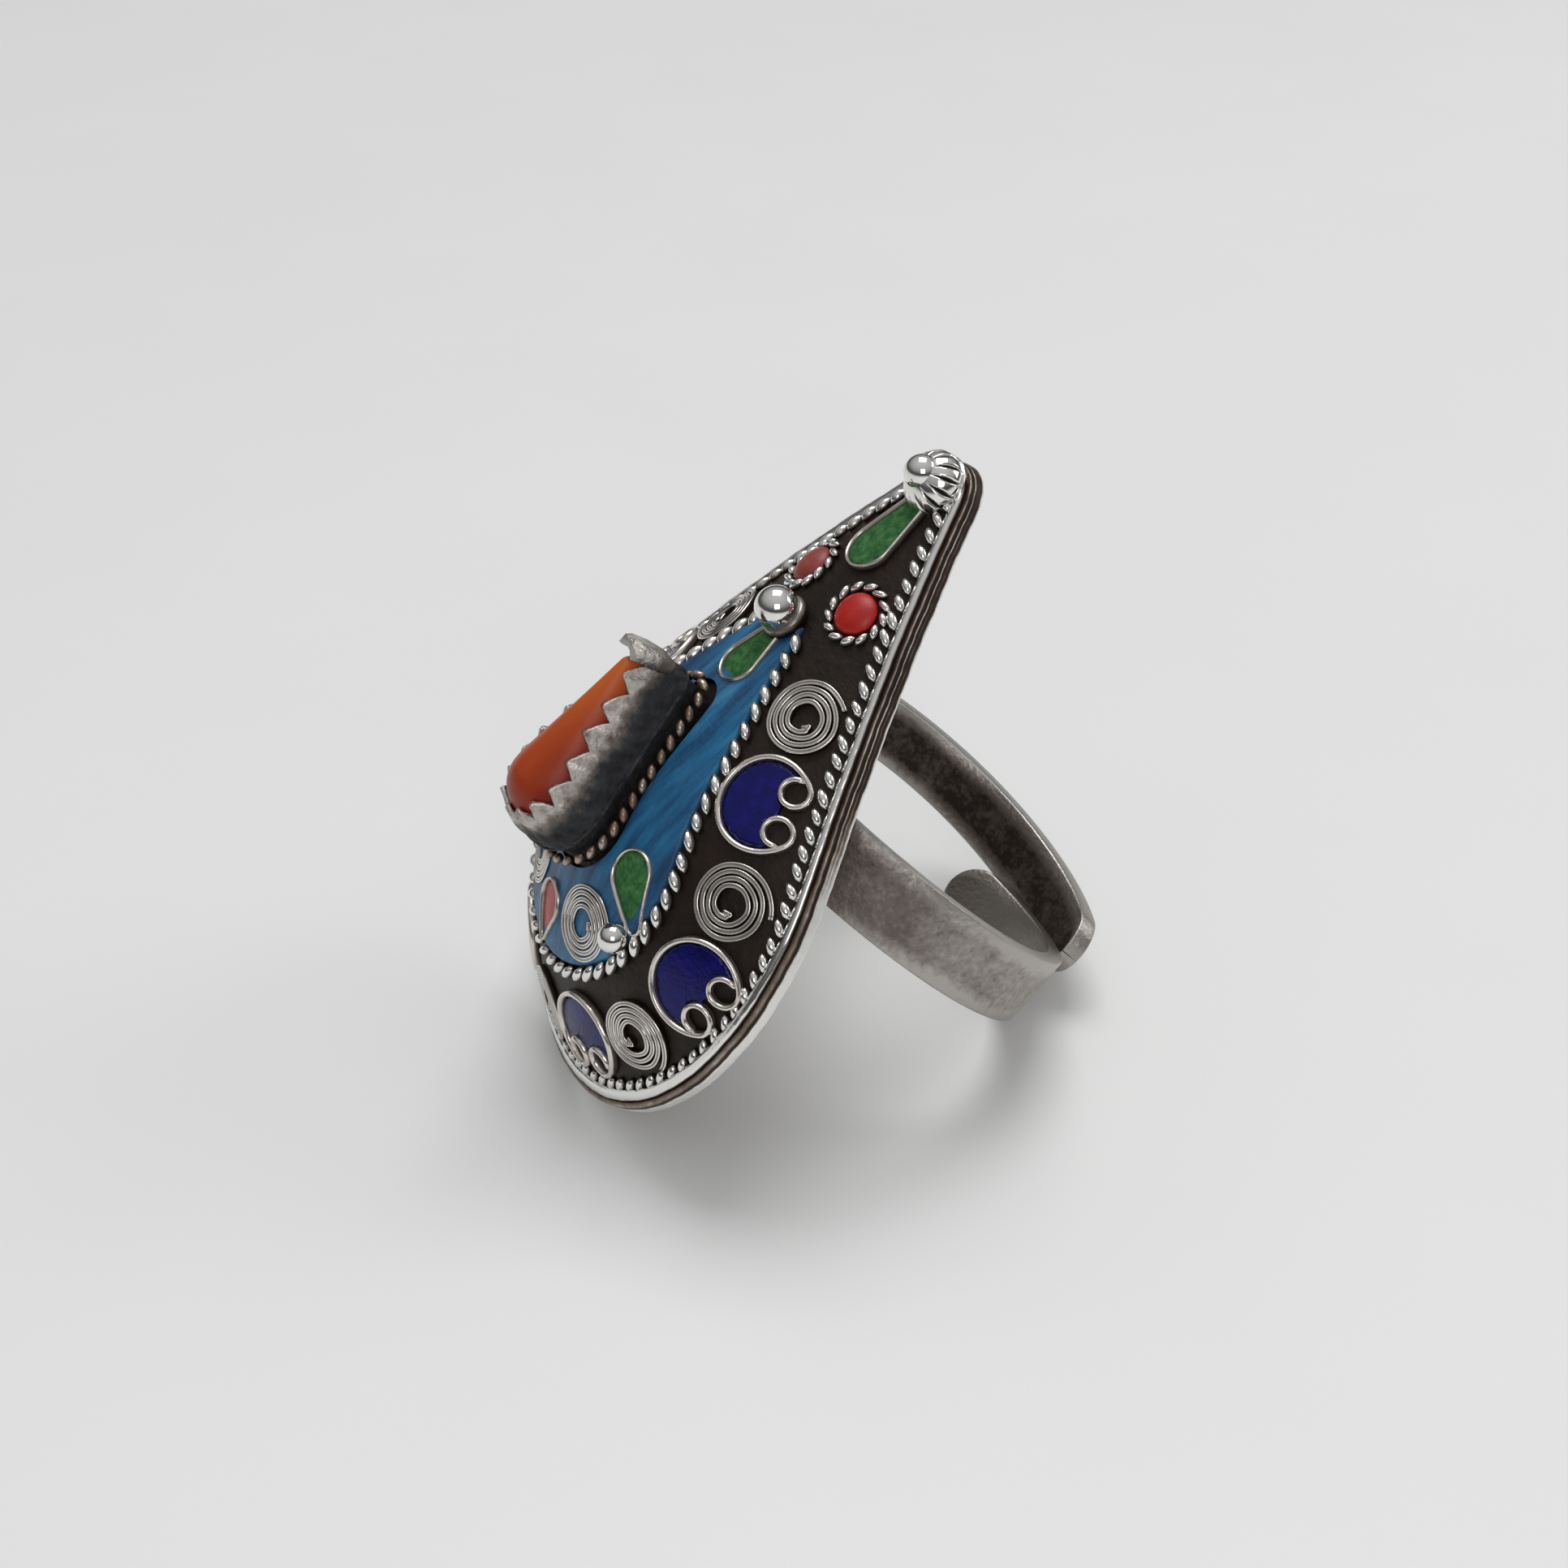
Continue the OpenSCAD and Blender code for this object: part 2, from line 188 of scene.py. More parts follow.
def make(name, verts, faces, material, slot, **marks):
    """A piece from points in the rim-plane frame. marks are point attributes that its material reads."""
    me = bpy.data.meshes.new(name)
    pts = to_rest(verts)
    pts[:, 1:] = np.maximum(pts[:, 1:], BOX_LOW)
    me.from_pydata([tuple(v) for v in pts], [], [tuple(int(i) for i in f) for f in faces])
    me.validate()
    for key, val in marks.items():
        a = me.attributes.new(key, "FLOAT", "POINT")
        a.data.foreach_set("value", np.asarray(val, np.float32))
    me.polygons.foreach_set("use_smooth", [True] * len(me.polygons))
    ob = bpy.data.objects.new(name, me)
    bpy.context.scene.collection.objects.link(ob)
    me.materials.append(material)
    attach(ob, "root")
    PIECES.append(ob)
    return ob


def strip_faces(n, m, closed_n, closed_m):
    """Quads of an n by m grid of points, row after row."""
    i = np.arange(n if closed_n else n - 1)
    j = np.arange(m if closed_m else m - 1)
    i, j = np.meshgrid(i, j, indexing="ij")
    i2, j2 = (i + 1) % n, (j + 1) % m
    return np.stack([i * m + j, i * m + j2, i2 * m + j2, i2 * m + j], -1).reshape(-1, 4)


def skin_faces(n, m):
    """Quads of n closed rows of m points, wound the other way."""
    return strip_faces(n, m, False, True)[:, ::-1]


def end_faces(n, m):
    """The two end faces of n closed rows of m points."""
    return [list(range(m)), [(n - 1) * m + k for k in range(m)][::-1]]


# Flat wire on edge, bright at its corners and duller between: place across, height (None at its foot), wear
FLAT_WIRE = ((-1.0, None, 0.0), (-1.0, 0.72, 0.1), (-0.78, 1.0, 1.0), (-0.30, 0.88, 0.36),
             (0.30, 0.88, 0.36), (0.78, 1.0, 1.0), (1.0, 0.72, 0.1), (1.0, None, 0.0))
FLAT_WIRE_FOOT = -0.1


class Shape:
    """Points, faces and wear gathered from many small forms, for one piece.

    Wear is 0 in a recess and 1 where metal is rubbed bright. The wear argument gives it at the bottom and the
    top of a form.
    """
    def __init__(self):
        self.v, self.f, self.w, self.n = [], [], [], 0

    def add(self, v, f, w):
        v = np.asarray(v, float).reshape(-1, 3)
        self.v.append(v)
        self.f.extend([[int(k) + self.n for k in q] for q in f])
        self.w.append(np.broadcast_to(np.asarray(w, float), (len(v),)))
        self.n += len(v)

    def build(self, name, material):
        return make(name, np.vstack(self.v), self.f, material, "silver", worn=np.concatenate(self.w))

    def tube(self, path, up, half_w, half_h, sides, worn, closed=True, power=2.0, taper=0):
        """A wire along path, with up out of its top. An open one is capped, and tapers over its last points."""
        path = np.asarray(path, float)
        n = len(path)
        up = np.broadcast_to(np.asarray(up, float), path.shape)
        tan = unit(np.roll(path, -1, 0) - np.roll(path, 1, 0) if closed else np.gradient(path, axis=0))
        side = unit(np.cross(tan, up))
        top = unit(np.cross(side, tan))
        a = 2 * np.pi * (np.arange(sides) + 0.5) / sides
        c, s = np.cos(a), np.sin(a)
        c = np.sign(c) * np.abs(c)**(2 / power)
        s = np.sign(s) * np.abs(s)**(2 / power)
        hw, hh = np.full(n, half_w), np.full(n, half_h)
        if taper:
            k = np.minimum(np.arange(n), np.arange(n)[::-1])
            r = np.sqrt(np.clip(1 - (1 - np.clip((k + 0.35) / taper, 0, 1))**2, 0, 1))
            hw, hh = hw * r, hh * r
        ring = (path[:, None] + side[:, None] * (c[None, :] * hw[:, None])[..., None]
                + top[:, None] * (s[None, :] * hh[:, None])[..., None])
        w = worn[0] + (worn[1] - worn[0]) * np.clip(0.5 + 0.62 * s, 0, 1)
        faces = strip_faces(n, sides, closed, True).tolist()
        if not closed:
            faces += end_faces(n, sides)
        self.add(ring, faces, np.tile(w, n))

    def strip(self, path, up, half_w, high):
        """A flat wire on edge along path. high is its height at each point."""
        path = np.asarray(path, float)
        tan = unit(np.gradient(path, axis=0))
        side = unit(np.cross(tan, up))
        top = unit(np.cross(side, tan))
        w = np.full(len(path), half_w)
        ring, worn = [], []
        for a, b, wear in FLAT_WIRE:
            z = np.full(len(path), FLAT_WIRE_FOOT) if b is None else b * high
            ring.append(path + side * (a * w)[:, None] + top * z[:, None])
            worn.append(np.full(len(path), wear))
        ring = np.stack(ring, 1)
        n, m = ring.shape[:2]
        self.add(ring, strip_faces(n, m, False, True).tolist() + end_faces(n, m), np.stack(worn, 1).reshape(-1))

    def grain(self, centre, up, along, size, worn, rings=9, sides=10):
        """Leaf-shaped grain of beaded wire. size is half its length, width and height."""
        up, along = unit(up), unit(along)
        side = np.cross(up, along)
        v, w = [], []
        for i in range(rings + 1):
            a = math.pi * i / rings
            fat = math.sin(a)**1.25
            for j in range(sides):
                b = 2 * math.pi * j / sides
                v.append(np.asarray(centre) + along * size[0] * math.cos(a)
                         + fat * (side * size[1] * math.cos(b) + up * size[2] * math.sin(b)))
                w.append(worn[0] + (worn[1] - worn[0]) * np.clip(0.35 + 0.65 * math.sin(b), 0, 1)
                         * (0.45 + 0.55 * fat))
        self.add(v, strip_faces(rings + 1, sides, False, True).tolist(), w)

    def ball(self, centre, radius, up, rings, sides, worn):
        up = unit(up)
        e1 = unit(np.cross(up, (0.3, 0.9, 0.2)))
        e2 = np.cross(up, e1)
        v, w = [], []
        for i in range(rings + 1):
            a = np.pi * i / rings
            for j in range(sides):
                b = 2 * np.pi * j / sides
                v.append(np.asarray(centre) + radius * (math.sin(a) * (math.cos(b) * e1 + math.sin(b) * e2)
                                                        + math.cos(a) * up))
                w.append(worn[0] + (worn[1] - worn[0]) * (0.5 + 0.5 * math.cos(a)))
        self.add(v, strip_faces(rings + 1, sides, False, True).tolist(), w)


# Material nodes
def nodes_of(name):
    mat = bpy.data.materials.new(name)
    mat.use_nodes = True
    nt = mat.node_tree
    nt.nodes.clear()
    out = nt.nodes.new("ShaderNodeOutputMaterial")
    bsdf = nt.nodes.new("ShaderNodeBsdfPrincipled")
    nt.links.new(bsdf.outputs[0], out.inputs[0])
    return mat, nt, bsdf


def noise(nt, scale, detail=4.0, rough=0.55, stretch=None):
    """Noise over the object's own coordinates. stretch is their scale and turn."""
    src = nt.nodes.new("ShaderNodeTexCoord").outputs["Object"]
    if stretch:
        mp = nt.nodes.new("ShaderNodeMapping")
        mp.inputs["Scale"].default_value = stretch[0]
        mp.inputs["Rotation"].default_value = stretch[1]
        nt.links.new(src, mp.inputs["Vector"])
        src = mp.outputs[0]
    n = nt.nodes.new("ShaderNodeTexNoise")
    n.inputs["Scale"].default_value = scale
    n.inputs["Detail"].default_value = detail
    n.inputs["Roughness"].default_value = rough
    nt.links.new(src, n.inputs["Vector"])
    return n.outputs["Fac"]


def ramp(nt, fac, stops):
    r = nt.nodes.new("ShaderNodeValToRGB")
    el = r.color_ramp.elements
    while len(el) < len(stops):
        el.new(0.5)
    for e, (pos, col) in zip(el, stops):
        e.position = pos
        e.color = (*col, 1)
    nt.links.new(fac, r.inputs[0])
    return r.outputs[0]


def grey(v):
    return (v, v, v)


def math_node(nt, op, *values):
    m = nt.nodes.new("ShaderNodeMath")
    m.operation = op
    for i, v in enumerate(values):
        if isinstance(v, (int, float)):
            m.inputs[i].default_value = v
        else:
            nt.links.new(v, m.inputs[i])
    return m.outputs[0]


def varied(nt, base, source, amount):
    """base, shifted up and down by a noise that lies about 0.5."""
    return math_node(nt, "ADD", base, math_node(nt, "MULTIPLY", math_node(nt, "SUBTRACT", source, 0.5), amount))


def bump(nt, bsdf, height, strength, distance):
    b = nt.nodes.new("ShaderNodeBump")
    b.inputs["Strength"].default_value = strength
    b.inputs["Distance"].default_value = distance
    nt.links.new(height, b.inputs["Height"])
    nt.links.new(b.outputs[0], bsdf.inputs["Normal"])


def attribute(nt, name):
    a = nt.nodes.new("ShaderNodeAttribute")
    a.attribute_name = name
    return a.outputs["Fac"]


# Materials
BLOTCH_SCALE = 700      # oxide blotches, about a millimetre across
STONE_BUMP = 0.00005    # depth of the grain of stone and enamel, in metres


def silver(name, dark=OXIDE, warm=OXIDE_WARM, mid=SILVER_MID, high=SILVER_HIGH, lo=0.30, hi=0.72,
           rough=(0.62, 0.2), metallic=(0.5, 1.0), wobble=0.5, speckle=0.3,
           grain=0.25, grain_scale=2600, depth=0.00006):
    """Oxidised silver: dark where the wear attribute is under lo, and bright where it is over hi.
    That attribute is wear and oxide, and also painted reflection on the shield's lowest outer edge rows and
    painted shade inside the band's far arm.

    wobble is how far blotches and speckles shift the wear. grain, grain_scale and depth are the bump's.
    """
    mat, nt, bsdf = nodes_of(name)
    worn = attribute(nt, "worn")
    blotch = noise(nt, BLOTCH_SCALE, 5)
    fine = noise(nt, grain_scale, 6, 0.6)
    mottle = math_node(nt, "ADD", math_node(nt, "MULTIPLY", blotch, 1 - speckle),
                       math_node(nt, "MULTIPLY", fine, speckle))
    k = varied(nt, worn, mottle, wobble)
    stops = [(0.0, dark), (lo, warm), ((lo + hi) / 2, mid), (hi, high)]
    nt.links.new(ramp(nt, k, stops), bsdf.inputs["Base Color"])
    stops = [(0.0, grey(rough[0])), (lo, grey(rough[0])), (hi, grey(rough[1])), (1.0, grey(rough[1]))]
    nt.links.new(ramp(nt, k, stops), bsdf.inputs["Roughness"])
    stops = [(0.0, grey(metallic[0])), (lo, grey(metallic[0])), (hi, grey(metallic[1]))]
    nt.links.new(ramp(nt, k, stops), bsdf.inputs["Metallic"])
    bump(nt, bsdf, math_node(nt, "ADD", fine, math_node(nt, "MULTIPLY", blotch, 0.6)), grain, depth)
    return mat


def enamel(name, stops, scale, rough, grain, coat, stretch=None, specular=0.5):
    """Glass or stone whose colour drifts over the stops."""
    mat, nt, bsdf = nodes_of(name)
    nt.links.new(ramp(nt, noise(nt, scale, 6, 0.6, stretch), stops), bsdf.inputs["Base Color"])
    bsdf.inputs["Roughness"].default_value = rough
    bsdf.inputs["Specular IOR Level"].default_value = specular
    bsdf.inputs["Coat Weight"].default_value = coat
    bsdf.inputs["Coat Roughness"].default_value = 0.15
    bump(nt, bsdf, noise(nt, 5000, 5, 0.65), grain, STONE_BUMP)
    return mat


def coral(name):
    """Natural coral: orange toward the point, red-brown at the round end and low on the sides."""
    mat, nt, bsdf = nodes_of(name)
    veins = noise(nt, 260, 6, 0.6, stretch=((1.6, 0.5, 1), (0.3, 0, 0.2)))
    k = varied(nt, attribute(nt, "redder"), veins, 0.55)
    stops = [(0.05, (0.60, 0.125, 0.018)), (0.32, (0.45, 0.062, 0.009)), (0.58, (0.29, 0.023, 0.005)),
             (0.9, (0.13, 0.009, 0.004))]
    nt.links.new(ramp(nt, k, stops), bsdf.inputs["Base Color"])
    bsdf.inputs["Roughness"].default_value = 0.36
    bsdf.inputs["Specular IOR Level"].default_value = 0.3
    bsdf.inputs["Coat Weight"].default_value = 0.05
    bsdf.inputs["Coat Roughness"].default_value = 0.2
    bump(nt, bsdf, noise(nt, 3500, 5, 0.6), 0.15, STONE_BUMP)
    return mat


M_FIELD = silver("silver_recess", lo=0.40, hi=0.80, rough=(0.46, 0.44), wobble=0.62, speckle=0.42, grain=1.0,
                 warm=(0.05, 0.027, 0.017), mid=(0.30, 0.235, 0.19))
M_WIRE = silver("silver_wire", lo=0.20, hi=0.60, rough=(0.5, 0.15), wobble=0.35, grain=0.14)
M_COIL = silver("silver_coil", lo=0.20, hi=0.58, rough=(0.5, 0.18), wobble=0.45, grain=0.2,
                mid=(0.32, 0.28, 0.25), high=(0.84, 0.81, 0.77))
M_CELL = silver("silver_cell_wire", lo=0.24, hi=0.80, rough=(0.5, 0.2), wobble=0.6, grain=0.2,
                mid=(0.30, 0.25, 0.215), high=(0.76, 0.71, 0.66))
M_ROPE = silver("silver_rope", lo=0.22, hi=0.62, rough=(0.5, 0.14), wobble=0.4, grain=0.12)
M_FOOT = silver("silver_foot_rope", lo=0.22, hi=0.85, rough=(0.5, 0.22), wobble=0.6, grain=0.3,
                mid=(0.27, 0.17, 0.12), high=(0.60, 0.52, 0.45))
M_BALL = silver("silver_ball", lo=0.12, hi=0.5, rough=(0.4, 0.09), wobble=0.2, grain=0.06)
M_COLLAR = silver("silver_collar", lo=0.34, hi=0.86, rough=(0.6, 0.33), wobble=1.3, speckle=0.5,
                  grain=1.0, grain_scale=2100, depth=0.00022, dark=(0.017, 0.012, 0.010),
                  warm=(0.045, 0.048, 0.054), mid=(0.20, 0.165, 0.14), high=(0.60, 0.56, 0.52))
M_BAND = silver("silver_band", lo=0.1, hi=0.8, rough=(0.55, 0.34), metallic=(0.75, 1.0), wobble=1.05,
                speckle=0.55, grain=0.8, grain_scale=3600, dark=(0.030, 0.024, 0.020),
                warm=(0.085, 0.066, 0.054), mid=(0.21, 0.18, 0.16), high=(0.46, 0.43, 0.40))

M_TURQ = enamel("turquoise_enamel",
                [(0.28, (0.003, 0.022, 0.070)), (0.43, (0.006, 0.072, 0.185)), (0.57, (0.016, 0.165, 0.35)),
                 (0.78, (0.10, 0.33, 0.49))],
                scale=620, rough=0.42, grain=0.8, coat=0.08, stretch=((1.6, 0.16, 0.3), (0.56, 0.0, 0.0)))
M_GREEN = enamel("green_enamel",
                 [(0.2, (0.005, 0.040, 0.010)), (0.46, (0.028, 0.135, 0.034)), (0.76, (0.095, 0.27, 0.085))],
                 scale=3000, rough=0.6, grain=1.0, coat=0.0, specular=0.25)
M_LAPIS = enamel("lapis_enamel",
                 [(0.2, (0.0008, 0.001, 0.030)), (0.5, (0.0012, 0.0016, 0.115)), (0.85, (0.006, 0.006, 0.20))],
                 scale=1500, rough=0.16, grain=0.45, coat=0.0, specular=0.3)
M_RED_ENAMEL = enamel("red_enamel",
                      [(0.2, (0.32, 0.022, 0.022)), (0.5, (0.48, 0.045, 0.042)), (0.8, (0.60, 0.12, 0.11))],
                      scale=900, rough=0.35, grain=0.2, coat=0.1)
M_RED = enamel("red_coral",
               [(0.2, (0.30, 0.004, 0.002)), (0.5, (0.48, 0.007, 0.004)), (0.8, (0.60, 0.030, 0.016))],
               scale=900, rough=0.42, grain=0.2, coat=0.05)
M_RED_DULL = enamel("red_coral_dull",
                    [(0.2, (0.20, 0.022, 0.018)), (0.5, (0.30, 0.050, 0.040)), (0.8, (0.40, 0.11, 0.085))],
                    scale=900, rough=0.45, grain=0.2, coat=0.05)
M_CORAL = coral("coral")


# Shield
def back(y):
    """Height of the shield's bent back."""
    return BEND_Z - BEND_R + np.sqrt(BEND_R**2 - (np.asarray(y, float) - BEND_Y)**2)


N_EDGE = 640
WIRE_UP = 1.05      # height of the rim wire's top above the back
WIRE_IN = 0.80      # its inner side, in from the edge
WIRE_PROUD = 0.16   # its top is at least this far above the dome beside it

edge_xy, edge_n, edge_len = drop_loop(*PLATE, count=N_EDGE)
edge_back = back(edge_xy[:, 1])
edge_dome = dome(*(edge_xy - edge_n * WIRE_IN).T)[0]
edge_grow = (np.maximum(edge_back + WIRE_UP, edge_dome + WIRE_PROUD) - edge_back) / WIRE_UP
# Small waves of the hand-made edge
edge_s = np.arange(N_EDGE) / N_EDGE * edge_len
wander = 0.018 * np.sin(edge_s * 1.7) + 0.012 * np.sin(edge_s * 4.3 + 1.0) + 0.008 * np.sin(edge_s * 9.1)


def edge_row(inset, high):
    """Points along the edge, moved in by inset and up from the back by high."""
    xy = edge_xy - edge_n * np.asarray(inset, float).reshape(-1, 1)
    return np.concatenate([xy, (edge_back + high * edge_grow)[:, None]], -1)


# Edge from the rim wire down to the back: inset, height, wear on the round part and wear on the point.
# On the round part the lowest outer rows are bright partly for their rubbed edge and partly as a painted
# reflection of the lit floor.
EDGE = [
    (0.34, 0.72, 0.05, 0.03), (0.30, 0.74, 0.30, 0.12), (0.26, 0.80, 0.60, 0.22), (0.20, 0.80, 0.50, 0.16),
    (0.13, 0.78, 0.60, 0.40), (0.07, 0.74, 0.62, 0.66), (0.04, 0.68, 0.50, 0.16), (0.06, 0.61, 0.12, 0.05),
    (0.065, 0.55, 0.05, 0.05), (0.03, 0.51, 0.55, 0.74), (0.008, 0.46, 0.95, 0.30), (0.0, 0.40, 0.90, 0.12),
    (0.012, 0.33, 0.98, 0.50), (0.0, 0.26, 0.92, 0.20), (0.006, 0.18, 1.0, 0.34), (0.0, 0.11, 1.05, 1.05),
    (0.03, 0.05, 1.05, 1.05), (0.10, 0.01, 0.8, 0.8), (0.2, 0.0, 0.5, 0.45),
]
POINT_FROM, POINT_SPAN = 4.0, 5.0       # along y, where the wear and painted reflection turn from the round part's to the point's
WEAR_FLOOR, WEAR_BACK = 0.10, 0.45


def plate_shape():
    """Dome floor out to the rim wire, the grooved edge and the bent back, as one skin."""
    rows, worn = [], []
    spine = np.stack([np.zeros(N_EDGE), np.clip(edge_xy[:, 1] * 0.86 + 0.4, -2.0, PLATE[1] + 0.4)], -1)
    foot = edge_xy - edge_n * (WIRE_IN - 0.05)
    for k in np.linspace(0.0, 1.0, 64):
        rows.append(on_dome(spine + (foot - spine) * k)[0])
        worn.append(np.full(N_EDGE, WEAR_FLOOR))
    point = ease(edge_xy[:, 1], POINT_FROM, POINT_SPAN)
    for inset, high, round_wear_and_reflection, high_wear in EDGE:
        row = edge_row(inset, high)
        row[:, 2] += wander * (1.0 if 0.05 < high < 0.7 else 0.5)
        rows.append(row)
        # Lowest outer rows of the round part: rubbed edge plus painted reflection of the floor
        worn.append(round_wear_and_reflection + (high_wear - round_wear_and_reflection) * point)
    base = edge_xy - edge_n * EDGE[-1][0]
    for k in np.linspace(0.97, 0.0, 30):
        xy = spine + (base - spine) * k
        rows.append(np.concatenate([xy, back(xy[:, 1])[:, None]], -1))
        worn.append(np.full(N_EDGE, WEAR_BACK))
    return np.vstack(rows), skin_faces(len(rows), N_EDGE), np.concatenate(worn)


v, f, worn = plate_shape()
shield = make("silver_shield", v, f, M_FIELD, "silver", worn=worn)
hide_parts("silver_body")

# Bright wire inside the edge: inset, height and wear. Its two sunk feet don't wander.
RIM_WIRE = [(0.80, 0.55, 0.05), (0.795, 0.86, 0.15), (0.76, 1.0, 0.85), (0.68, 1.04, 1.0), (0.55, 1.05, 0.95),
            (0.42, 1.03, 1.0), (0.345, 0.97, 0.9), (0.315, 0.88, 0.2), (0.31, 0.6, 0.02)]
feet = (0, len(RIM_WIRE) - 1)
rows = [edge_row(inset + 0.5 * wander * (i not in feet), high) for i, (inset, high, _) in enumerate(RIM_WIRE)]
rim = Shape()
rim.add(np.stack(rows, 1), strip_faces(N_EDGE, len(RIM_WIRE), True, True).tolist(),
        np.tile([wear for _, _, wear in RIM_WIRE], N_EDGE))
rim.build("silver_rim_wire", M_WIRE)


# Beaded wire
ROPE_IN = 1.07          # outer row, in from the plate's edge
ROPE_LIFT = 0.10
INNER_LIFT = ROPE_LIFT + 0.08
ROPE_TURN = 38          # degrees from a row's line to its grains
INNER_Y = 0.14
INNER_END = 12.3        # the inner row and the turquoise end here, under the middle ball


def grain_row(shape, points, normals, count, turn, size, seed, worn=(0.0, 1.0), end=math.inf):
    """Grains along a closed line, turned from it by about the same angle, with small hand-made differences."""
    rng = np.random.default_rng(seed)
    seg = np.linalg.norm(np.roll(points, -1, 0) - points, axis=1)
    s = np.concatenate([[0], np.cumsum(seg)])
    pts = np.vstack([points, points[:1]])
    nrm = np.vstack([normals, normals[:1]])

    def at(t, values):
        return np.array([np.interp(t % s[-1], s, values[:, k]) for k in range(3)])

    for i in range(count):
        t = s[-1] * i / count + rng.uniform(-0.03, 0.03)
        c = at(t, pts)
        u = unit(at(t, nrm))
        d = at(t + 0.05, pts) - c
        d = unit(d - u * (d @ u))
        a = math.radians(turn + rng.uniform(-5, 5))
        along = d * math.cos(a) + np.cross(u, d) * math.sin(a)
        k = rng.uniform(0.92, 1.06, 3)
        if c[1] > end:
            continue
        shape.grain(c, u, along, (size[0] * k[0], size[1] * k[1], size[2] * k[2]),
                    worn=(worn[0], worn[1] * rng.uniform(0.8, 1.0)))


outer_rope = Shape()
xy = drop_loop(*grown(PLATE, -ROPE_IN), count=600)[0]
grain_row(outer_rope, *on_dome(xy, ROPE_LIFT), 100, ROPE_TURN, (0.44, 0.225, 0.27), seed=3)
outer_rope.build("silver_rope_outer", M_ROPE)

inner_rope = Shape()
xy = drop_loop(*INNER_ROPE, count=400)[0] + [0, INNER_Y]
grain_row(inner_rope, *on_dome(xy, INNER_LIFT), 60, ROPE_TURN, (0.50, 0.235, 0.30), seed=4, end=INNER_END)
inner_rope.build("silver_rope_inner", M_ROPE)


# Collar: its frame is turned so that its walls tip toward the shield's tip
COLLAR_Y = 0.96
COLLAR_Z = 6.0
COLLAR_TILT = math.radians(-11)
FOOT_ROPE_Z = 6.6


def on_collar(p):
    """Points of the collar's frame, in the rim-plane frame."""
    y = p[..., 1] + COLLAR_Y
    z = p[..., 2] - COLLAR_Z
    return np.stack([p[..., 0], y * math.cos(COLLAR_TILT) - z * math.sin(COLLAR_TILT),
                     COLLAR_Z + y * math.sin(COLLAR_TILT) + z * math.cos(COLLAR_TILT)], -1)


def collar_row(xy, z):
    """Points xy of the collar's frame at height z, in the rim-plane frame."""
    return on_collar(np.concatenate([xy, np.broadcast_to(z, (len(xy),))[:, None]], -1))


collar_rope = Shape()
xy, nrm, _ = drop_loop(*grown(COLLAR, 0.06), count=300)
out_and_up = np.concatenate([nrm * 0.8, np.full((len(xy), 1), 0.6)], -1)
grain_row(collar_rope, collar_row(xy, FOOT_ROPE_Z), out_and_up, 34, 30, (0.36, 0.21, 0.24), seed=5,
          worn=(0.03, 0.75))
collar_rope.build("silver_rope_collar", M_FOOT)

TEETH = 17
TOOTH_STEPS = 24        # points across a tooth
WALL_LOW = 7.4
WALL_T = 0.24
VALLEY = 9.26           # bottom of the cuts between the teeth
TOOTH_HIGH = 0.66
STONE_FLOOR = 7.7
# Neck under the wall: moved out by, height, wear
NECK = [(-0.30, 4.6, 0.05), (-0.30, 6.6, 0.05), (-0.26, 7.0, 0.12), (-0.16, 7.25, 0.3), (-0.02, 7.36, 0.4),
        (0.02, 7.45, 0.35), (0.0, 7.55, 0.2)]
# Square tab at the collar's point: height, half width, moved in by, wear
TAB = [(8.4, 0.74, -0.06, 0.5), (9.3, 0.84, -0.02, 0.8), (10.0, 0.86, 0.10, 0.95), (10.3, 0.78, 0.24, 1.0)]
TAB_T = 0.42
TAB_STEPS = 7


